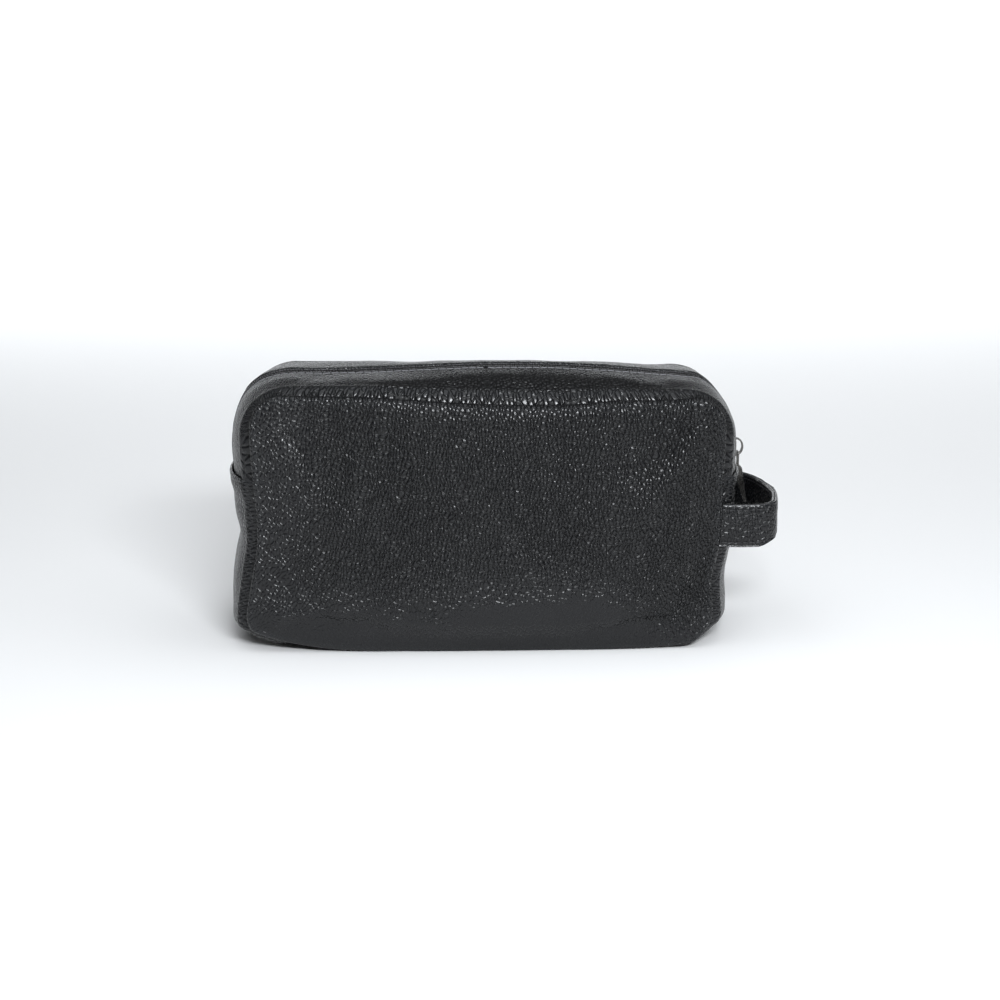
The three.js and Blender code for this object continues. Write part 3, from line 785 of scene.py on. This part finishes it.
def zip_coil(side_name, half_name):
    """One side's row of teeth, from the stop to the middle of the bag."""
    side, run = SIDES[side_name], zip_runs[half_name]
    lowest = COIL_END_Z if half_name == "right" else COIL_START_Z
    arc = arc_lengths(run)
    start = np.interp(lowest, run[:30, 3], arc[:30])
    count = int((arc[-1] - start) / TOOTH_PITCH)
    places = arc[-1] - TOOTH_PITCH * (np.arange(count) + (0.25 if side < 0 else 0.75))
    teeth = along(run, places)
    tip = gusset_points(teeth, [-side * 0.25], [0.0])[:, 0]
    root = gusset_points(teeth, [side * 2.0], [0.35])[:, 0]
    points, faces = beads(tip, root, TOOTH_RADIUS)
    piece = make_piece(f"zip_teeth_{side_name}_{half_name}", points, faces, coil_nylon)
    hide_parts(f"zip_coil_{side_name}_{half_name}", f"zip_coil_{side_name}_top")
    with_lip(piece)


def zip_stitches(side_name, half_name):
    """The row of topstitching beside the zip, from the base gusset to the middle of the bag."""
    side, run = SIDES[side_name], zip_runs[half_name]
    starts = np.arange(TUCK + 1, arc_lengths(run)[-1] - STITCH_LENGTH, STITCH_PITCH)
    ends = []
    for places in (starts, starts + STITCH_LENGTH):
        height = flap_height(places[:, None], np.array([STITCH_FROM_MIDDLE]), side)
        ends.append(gusset_points(along(run, places), [side * STITCH_FROM_MIDDLE], -height - 0.12)[:, 0])
    points, faces = beads(*ends, STITCH_RADIUS)
    piece = make_piece(f"zip_stitches_{side_name}_{half_name}", points, faces, thread)
    with_lip(piece)


# ---------------------------------------------------------------- panels

STRAIGHT_SHARE = 2 / 3
GRID = (84, 44)


def rim(a, b):
    """A panel's edge and the way out of it, for points on the rim of the square from -1 to 1."""
    across = np.abs(b) >= np.abs(a)
    place = np.where(across, a, b)
    bent = np.maximum(0, np.abs(place) - STRAIGHT_SHARE) / (1 - STRAIGHT_SHARE)
    straight = np.minimum(1, np.abs(place) / STRAIGHT_SHARE) * np.sign(place)
    turn = bent * math.pi / 4
    side, rise = np.where(a < 0, -1, 1), np.where(b < 0, -1, 1)
    radius = np.where(rise > 0, SEAM_TOP_RADIUS, SEAM_BOTTOM_RADIUS)
    centre_x = SEAM_HALF_WIDTH - radius
    centre_z = np.where(rise > 0, seam_top_z, seam_bottom_z)
    sag = np.where((rise > 0) & (bent == 0), SEAM_SAG * (1 - straight ** 2), 0)
    middle_z = (seam_top_z + seam_bottom_z) / 2
    x = np.where(
        across, straight * centre_x + side * radius * np.sin(turn), side * (centre_x + radius * np.cos(turn)),
    )
    z = np.where(
        across, centre_z + rise * radius * np.cos(turn) - sag,
        mixed(middle_z, centre_z, np.abs(straight)) + rise * radius * np.sin(turn),
    )
    out_x = np.where(across, side * np.sin(turn), side * np.cos(turn))
    out_z = np.where(across, rise * np.cos(turn), rise * np.sin(turn))
    return x, z, out_x, out_z


def square_rim():
    """The indices of the grid's border, once round."""
    across, up = GRID
    border = [(i, 0) for i in range(across)] + [(across, j) for j in range(up)]
    border += [(i, up) for i in range(across, 0, -1)] + [(0, j) for j in range(up, 0, -1)]
    return border


def panel_surface():
    """x, z, height over the seam plane, distance from the rim, and faces: rings at the edge, then a grid."""
    across, up = GRID
    middle_z = (SEAM_TOP + SEAM_BOTTOM) / 2
    i, j = np.meshgrid(np.arange(across + 1), np.arange(up + 1), indexing="ij")
    a, b = 2 * i / across - 1, 2 * j / up - 1
    ring = np.maximum(np.maximum(np.abs(a), np.abs(b)), 1e-9)
    x0, z0, out_x, out_z = rim(a / ring, b / ring)
    reach = np.hypot(x0, z0 - middle_z)
    xg = (x0 - out_x * GRID_INSET) * ring
    zg = middle_z + (z0 - out_z * GRID_INSET - middle_z) * ring
    inset_share = ring * (1 - GRID_INSET / reach)
    from_rim = (1 - inset_share) * reach
    border = np.array(square_rim())
    ba, bb = a[border[:, 0], border[:, 1]], b[border[:, 0], border[:, 1]]
    bx, bz, box, boz = rim(ba, bb)
    turns = np.linspace(ROLL_START, math.pi / 2, ROLL_STEPS)
    rolled = [(ROLL * (1 - math.cos(turn)), ROLL * (1 + math.sin(turn)), turn < 0) for turn in turns]
    rolled += [(distance, 2 * ROLL, False) for distance in ROLL_RINGS]
    rings_x, rings_z, rings_share, rings_d, rings_rise = [], [], [], [], []
    for distance, rise, under in rolled:
        rings_x.append(bx - box * distance)
        rings_z.append(bz - boz * distance)
        rings_share.append(1 - (0 if under else distance) / np.hypot(bx, bz - middle_z))
        rings_d.append(np.full(len(border), 0.0 if under else float(distance)))
        rings_rise.append(np.full(len(border), rise - rolled[0][1]))
    x = np.concatenate([xg.ravel(), *rings_x])
    z = np.concatenate([zg.ravel(), *rings_z])
    share = np.concatenate([inset_share.ravel(), *rings_share])
    d = np.concatenate([from_rim.ravel(), *rings_d])
    faces = lattice(across + 1, up + 1, closed=False)
    grid_count = (across + 1) * (up + 1)
    loops = [grid_count + k * len(border) + np.arange(len(border)) for k in range(len(rolled))]
    loops.append(border[:, 0] * (up + 1) + border[:, 1])
    for outer, inner in zip(loops, loops[1:]):
        for k in range(len(border)):
            n = (k + 1) % len(border)
            faces.append((outer[k], outer[n], inner[n], inner[k]))
    rise = np.concatenate([np.full(grid_count, rolled[-1][1] - rolled[0][1]), *rings_rise])
    height = rise + (PANEL_CROWN - 2 * ROLL) * (1 - np.clip(share, 0, 1) ** PANEL_POWER)
    return x, z, height, d, [tuple(int(v) for v in f) for f in faces], loops[0]


def panel(side_name):
    side = SIDES[side_name]
    x, z, height, d, faces, rim_loop = panel_surface()
    seed = 60 if side < 0 else 70
    along_rim = np.where(np.abs(x) / SEAM_HALF_WIDTH > np.abs(z - 70) / 68, z, x)
    gathers = seam_pull(along_rim, d, seed) * smooth(0, 1.5, d)
    undulation = swell(x, z, 38, seed + 3) * 1.3 * smooth(2, 26, d)
    undulation = undulation + swell(x, z, 17, seed + 4) * 0.35 * smooth(2, 14, d)
    pinch = smooth(62, 112, x) * bump(z, 32, 24)
    creased = 0.5 * wander(z + 0.25 * x + 2 * wander(x, 9, 5), 2.6, seed + 6)
    crumple = pinch * creased * np.exp(-d / 16) * smooth(0, 2, d)
    dent = -2.4 * pinch * bump(d, 8, 12)
    height = height + gathers + undulation + crumple + dent
    outer = soften(np.stack([x, side * (PANEL_EDGE + height), z], axis=1))
    held = smooth(14, 3, d)
    outward = [face[::-1] for face in faces] if side < 0 else faces
    shaped = settled(outer, outward, held)
    drift = (shaped - outer)[:, 1] * side
    outer = shaped
    inner = soften(np.stack([x, side * (PANEL_EDGE + np.maximum(0, height + drift - LEATHER)), z], axis=1))
    count = len(outer)
    on_rim = np.zeros(count, bool)
    on_rim[rim_loop] = True
    index = np.where(on_rim, np.arange(count), np.arange(count) + count)
    back_faces = [tuple(int(index[v]) for v in face)[::-1] for face in faces]
    used = np.concatenate([np.arange(count), (np.arange(count) + count)[~on_rim]])
    renumber = np.full(2 * count, -1)
    renumber[used] = np.arange(len(used))
    points = np.concatenate([outer, inner])[used]
    all_faces = [tuple(int(renumber[v]) for v in face) for face in faces + back_faces]
    smooth_low = smooth(8, 62, z + 10 * swell(x, z, 30, seed + 7))
    smooth_left = smooth(-112, -78, x + 6 * swell(x, z, 24, seed + 8))
    relief_one = 0.3 + 0.7 * smooth_low * (0.35 + 0.65 * smooth_left) + 0.35 * pinch
    # Painted highlight with wear: lighter along the panel's rolled edge.
    wear_and_highlight_one = 0.5 * bump(d, 2.2, 1.6)
    grain_one = np.stack([x, z, 0 * x], axis=1)
    parts = [np.concatenate([v, v])[used] for v in (grain_one, relief_one, wear_and_highlight_one)]
    piece = make_piece(f"{side_name}_panel_leather", points, all_faces, leather, *parts)
    finer = piece.modifiers.new("finer", "SUBSURF")
    finer.levels = finer.render_levels = 2
    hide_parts(f"{side_name}_panel")
    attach(piece, "shell")
    return piece


def settled(points, faces, held):
    """The panel's outer face after a short cloth run, held at its seam and pressed out by what it holds."""
    mesh = bpy.data.meshes.new("settling")
    mesh.from_pydata((points * MM).tolist(), [], faces)
    sheet = bpy.data.objects.new("settling", mesh)
    bpy.context.collection.objects.link(sheet)
    group = sheet.vertex_groups.new(name="held")
    for index in np.flatnonzero(held > 0):
        group.add([int(index)], float(held[index]), "REPLACE")
    cloth = sheet.modifiers.new("cloth", "CLOTH")
    leather_cloth = cloth.settings
    leather_cloth.quality = 6
    leather_cloth.mass = 0.35
    leather_cloth.tension_stiffness = leather_cloth.compression_stiffness = 25
    leather_cloth.shear_stiffness = 12
    leather_cloth.bending_stiffness = 1.2
    leather_cloth.vertex_group_mass = "held"
    leather_cloth.shrink_min = -GROWTH
    leather_cloth.use_pressure = True
    leather_cloth.uniform_pressure_force = SETTLING_PRESSURE
    leather_cloth.effector_weights.gravity = 0.3
    cloth.collision_settings.use_self_collision = False
    cloth.point_cache.frame_end = SETTLING_FRAMES
    scene = bpy.context.scene
    for number in range(1, SETTLING_FRAMES + 1):
        scene.frame_set(number)
    shaped = sheet.evaluated_get(bpy.context.evaluated_depsgraph_get()).to_mesh()
    result = np.zeros(len(points) * 3)
    shaped.vertices.foreach_get("co", result)
    result = result.reshape(-1, 3) / MM
    scene.frame_set(1)
    bpy.data.objects.remove(sheet)
    moved = result - points
    far = np.linalg.norm(moved, axis=1, keepdims=True)
    return points + moved * np.minimum(1, SETTLING_CAP / np.maximum(far, 1e-9))


def lining_panel(side_name):
    side = SIDES[side_name]
    x, z, height, d, faces, rim_loop = panel_surface()
    ease = 3.6
    middle_z = (SEAM_TOP + SEAM_BOTTOM) / 2
    x, z = x * (1 - ease / SEAM_HALF_WIDTH), middle_z + (z - middle_z) * (1 - ease / (SEAM_TOP - middle_z))
    hang = np.maximum(0, height - LEATHER - 1.6)
    loose = swell(x, z, 22, 90) * 0.5
    points = soften(np.stack([x, side * (PANEL_EDGE - 1.4 + hang + loose), z], axis=1))
    grain = np.stack([x, z, 0 * x], axis=1)
    piece = make_piece(f"{side_name}_lining_cloth", points, faces, lining_cloth, grain)
    thick = piece.modifiers.new("thickness", "SOLIDIFY")
    thick.thickness = LINING * MM
    thick.offset = 0
    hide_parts(f"lining_{side_name}")
    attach(piece, "shell")


# ---------------------------------------------------------------- wrist loop

STRAP_STITCH_PITCH = 3.6
STRAP_STITCH_LENGTH = 2.3
STRAP_STITCH_RADIUS = 0.18
STRAP_STITCH_PROUD = 0.35
END_STITCH_PITCH = 3.6
END_STITCH_LENGTH = 2.7
END_STITCH_DEPTH = 3.6                      # below the folded edge


def spline(points, count):
    """Evenly spaced points on a smooth curve through the given ones."""
    points = np.array(points, float)
    padded = np.concatenate([[2 * points[0] - points[1]], points, [2 * points[-1] - points[-2]]])
    fine = []
    for k in range(len(points) - 1):
        p0, p1, p2, p3 = padded[k:k + 4]
        t = np.linspace(0, 1, 24, endpoint=False)[:, None]
        fine.append(0.5 * (
            2 * p1 + (p2 - p0) * t + (2 * p0 - 5 * p1 + 4 * p2 - p3) * t ** 2
            + (3 * p1 - p0 - 3 * p2 + p3) * t ** 3
        ))
    fine = np.concatenate([*fine, points[-1:]])
    length = np.concatenate([[0], np.cumsum(np.linalg.norm(np.diff(fine, axis=0), axis=1))])
    even = np.linspace(0, length[-1], count)
    return np.stack([np.interp(even, length, fine[:, i]) for i in range(fine.shape[1])], axis=1), even


loop_path, loop_arc = spline(LOOP_ROUTE, 150)
loop_tangent = np.gradient(loop_path, axis=0)
loop_tangent /= np.linalg.norm(loop_tangent, axis=1, keepdims=True)
loop_out = np.stack([loop_tangent[:, 1], -loop_tangent[:, 0]], axis=1)


def loop_points(offset, height):
    """Points beside the strap's path, at offsets outside it and heights."""
    offset, height = np.broadcast_arrays(offset, height)
    x = loop_path[:, 0:1] + loop_out[:, 0:1] * offset
    y = loop_path[:, 1:2] + loop_out[:, 1:2] * offset
    far = smooth(143, 156, x)
    lift = far * mixed(3.4, 0.6, (height - LOOP_BOTTOM) / (LOOP_TOP - LOOP_BOTTOM)) * smooth(20, -20, y)
    return np.stack([x, y, height + lift + 0.25 * wander(loop_arc[:, None] + 0 * x, 14, 81)], axis=-1)


LOOP_STITCH_INSET = 2.6


def loop_layer(name, node, inner, outer, puff):
    """One of the strap's two layers, which stands proud on the side that puff points to."""
    middle_z, half_z = (LOOP_BOTTOM + LOOP_TOP) / 2, (LOOP_TOP - LOOP_BOTTOM) / 2
    corner = (outer - inner) * 0.42
    turn = np.linspace(0, math.pi / 2, 5)
    flat = np.linspace(-1, 1, 27) * (half_z - corner)
    face_z = middle_z + flat

    def rounded(face, end, angles):
        """Round one corner of the section: face is outer or inner, and end is 1 at the top and -1 below."""
        inward = -1 if face == outer else 1
        return [
            (
                face + inward * corner * (1 - math.cos(angle)),
                middle_z + end * (half_z - corner * (1 - math.sin(angle))),
            )
            for angle in angles
        ]

    away, back = turn[1:], turn[:-1][::-1]
    section_points = [(outer, z) for z in face_z]
    section_points += rounded(outer, 1, away) + rounded(inner, 1, back)
    section_points += [(inner, z) for z in face_z[::-1]]
    section_points += rounded(inner, -1, away) + rounded(outer, -1, back)
    offset = np.array([p[0] for p in section_points])[None, :]
    height = np.array([p[1] for p in section_points])[None, :]
    from_edge = half_z - np.abs(height - middle_z)
    arc = loop_arc[:, None]
    face = np.where(puff > 0, offset > (inner + outer) / 2, offset < (inner + outer) / 2)
    full = 0.35 * smooth(LOOP_STITCH_INSET - 0.4, LOOP_STITCH_INSET + 3, from_edge)
    full = full - 0.2 * bump(from_edge, LOOP_STITCH_INSET, 0.6)
    wrinkle = wander(arc, 3.4, 83) * 0.16 + swell(arc + 0 * height, height, 7, 84) * 0.2
    moved = offset + np.sign(puff) * face * (full + wrinkle)
    grid = loop_points(moved, height + 0 * arc)
    grain = np.stack(np.broadcast_arrays(arc, height + 500 * np.sign(puff), 0.0), axis=-1)
    # Painted highlight with wear: lighter along the strap's edges.
    wear_and_highlight = np.broadcast_to(0.9 * bump(from_edge, 0.3, 0.8), moved.shape)
    relief = np.broadcast_to(0.5 * smooth(0.3, 2.0, from_edge), moved.shape)
    piece = strip_piece(name, grid, leather, grain, relief, wear_and_highlight)
    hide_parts(node)
    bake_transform(piece)


def loop_stitches(name, height):
    """A stitch row on the outside of the strap and another on the inside."""
    places = np.arange(2.0, loop_arc[-1] - 4, STRAP_STITCH_PITCH)
    rods = []
    proud = LOOP_LAYER + STRAP_STITCH_PROUD
    for offset in (proud, -proud):
        column = np.ones((len(loop_arc), 1))
        path = loop_points(column * offset, column * height)[:, 0]
        ends = []
        for shift in (0, STRAP_STITCH_LENGTH):
            place = [np.interp(places + shift, loop_arc, path[:, i]) for i in range(3)]
            ends.append(np.stack(place, axis=1))
        rods.append(ends)
    starts = np.concatenate([rods[0][0], rods[1][0]])
    ends = np.concatenate([rods[0][1], rods[1][1]])
    points, faces = beads(starts, ends, STRAP_STITCH_RADIUS)
    piece = make_piece(name, points, faces, strap_thread)
    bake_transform(piece)


def gusset_end_stitches():
    """The topstitching under the base gusset's folded top edges."""
    across = np.arange(-36, 34, END_STITCH_PITCH)
    lap = LAP * smooth(LAP_LENGTH, LAP_LENGTH * 0.25, END_STITCH_DEPTH)
    for name, way in (("left", -1), ("right", 1)):
        from_row = np.abs(base_run[:, 3] - (GUSSET_JOIN_Z - END_STITCH_DEPTH))
        other_end = base_run[:, 2] * way < 0
        row = base_run[np.argmin(from_row + other_end * 1e3)][None, :]
        first = gusset_points(row, across, np.full(len(across), -lap + 0.12))[0]
        last = gusset_points(row, across + END_STITCH_LENGTH, np.full(len(across), -lap + 0.12))[0]
        points, faces = beads(first, last, STITCH_RADIUS)
        piece = make_piece(f"gusset_end_stitches_{name}", points, faces, strap_thread)
        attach(piece, "shell")


# ---------------------------------------------------------------- building the bag

base_gusset()
base_lining()
for side_name in SIDES:
    panel(side_name)
    lining_panel(side_name)
    for half_name in zip_runs:
        zip_flap(side_name, half_name)
        zip_tape(side_name, half_name)
        zip_facing(side_name, half_name)
        zip_coil(side_name, half_name)
        zip_stitches(side_name, half_name)
loop_layer("wrist_loop_outside", "loop_outer", CLEARANCE / 2, CLEARANCE / 2 + LOOP_LAYER, 1)
loop_layer("wrist_loop_inside", "loop_inner", -CLEARANCE / 2 - LOOP_LAYER, -CLEARANCE / 2, -1)
loop_stitches("wrist_loop_stitches_top", LOOP_TOP - LOOP_STITCH_INSET)
loop_stitches("wrist_loop_stitches_bottom", LOOP_BOTTOM + LOOP_STITCH_INSET)
gusset_end_stitches()

METAL_NODES = (
    "slider_body", "slider_bridge", "pull_link", "pull_tab",
    "zip_top_stop_front", "zip_top_stop_back", "zip_bottom_stop",
)
METAL_ROUNDING = 0.18
for node in METAL_NODES:
    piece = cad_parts[node]
    piece.data.materials.clear()
    piece.data.materials.append(metal)
    rounding = piece.modifiers.new("rounding", "BEVEL")
    rounding.width = METAL_ROUNDING * MM
    rounding.segments = 3
    rounding.limit_method = "ANGLE"

# ---------------------------------------------------------------- floor, light and camera


def floor():
    """A sweep of pale board: flat under the bag, turned up a little far behind it."""
    half_width, near, far, turn, steps = 5.0, -4.0, 2.4, 0.5, 12
    profile = [(near, 0.0)]
    for k in range(steps + 1):
        angle = math.pi / 2 * k / steps
        profile.append((far + turn * math.sin(angle), turn * (1 - math.cos(angle))))
    profile.append((far + turn, 0.75))
    corners = [(x, y, z) for y, z in profile for x in (-half_width, half_width)]
    faces = [(2 * k, 2 * k + 1, 2 * k + 3, 2 * k + 2) for k in range(len(profile) - 1)]
    mesh = bpy.data.meshes.new("floor")
    mesh.from_pydata(corners, [], faces)
    mesh.shade_smooth()
    piece = bpy.data.objects.new("floor", mesh)
    bpy.context.collection.objects.link(piece)
    n = Nodes("studio_floor")
    mesh.materials.append(n.finish(Base_Color=(0.9, 0.9, 0.9, 1), Roughness=0.7, Specular_IOR_Level=0.1))


def area_light(name, place, aim, size, power):
    data = bpy.data.lights.new(name, "AREA")
    data.shape = "RECTANGLE"
    data.size, data.size_y = size
    data.energy = power
    data.color = (0.94, 0.97, 1.0)
    light = bpy.data.objects.new(name, data)
    light.location = place
    direction = np.array(aim, float) - np.array(place, float)
    light.rotation_euler = Vector(direction).to_track_quat("-Z", "Y").to_euler()
    bpy.context.collection.objects.link(light)


def camera():
    target = np.array([0.00798, 0, 0.071735])
    distance, azimuth, elevation = 1.2, math.radians(-2.076), math.radians(13.775)
    level = math.cos(elevation)
    back = np.array([math.sin(azimuth) * level, -math.cos(azimuth) * level, math.sin(elevation)])
    data = bpy.data.cameras.new("camera")
    data.lens = 78.95
    data.sensor_width = 36
    shot = bpy.data.objects.new("camera", data)
    shot.location = target + back * distance
    shot.rotation_euler = (math.pi / 2 - elevation, 0, azimuth)
    bpy.context.collection.objects.link(shot)
    bpy.context.scene.camera = shot


floor()
area_light("overhead", (0.1, -0.3, 1.25), (0.0, -0.1, 0), (2.2, 1.6), 16)
area_light("front_high", (0.2, -1.2, 0.72), (0.0, 0, 0.1), (0.5, 0.16), 18)
area_light("backdrop_wash", (0.0, 1.5, 1.5), (0, 2.8, 0.15), (3.0, 0.5), 60)
world = bpy.data.worlds.new("studio")
bpy.context.scene.world = world
world.use_nodes = True
world.node_tree.nodes["Background"].inputs["Color"].default_value = (1, 1, 1, 1)
world.node_tree.nodes["Background"].inputs["Strength"].default_value = 0.1
bpy.context.scene.view_settings.view_transform = "Standard"
camera()
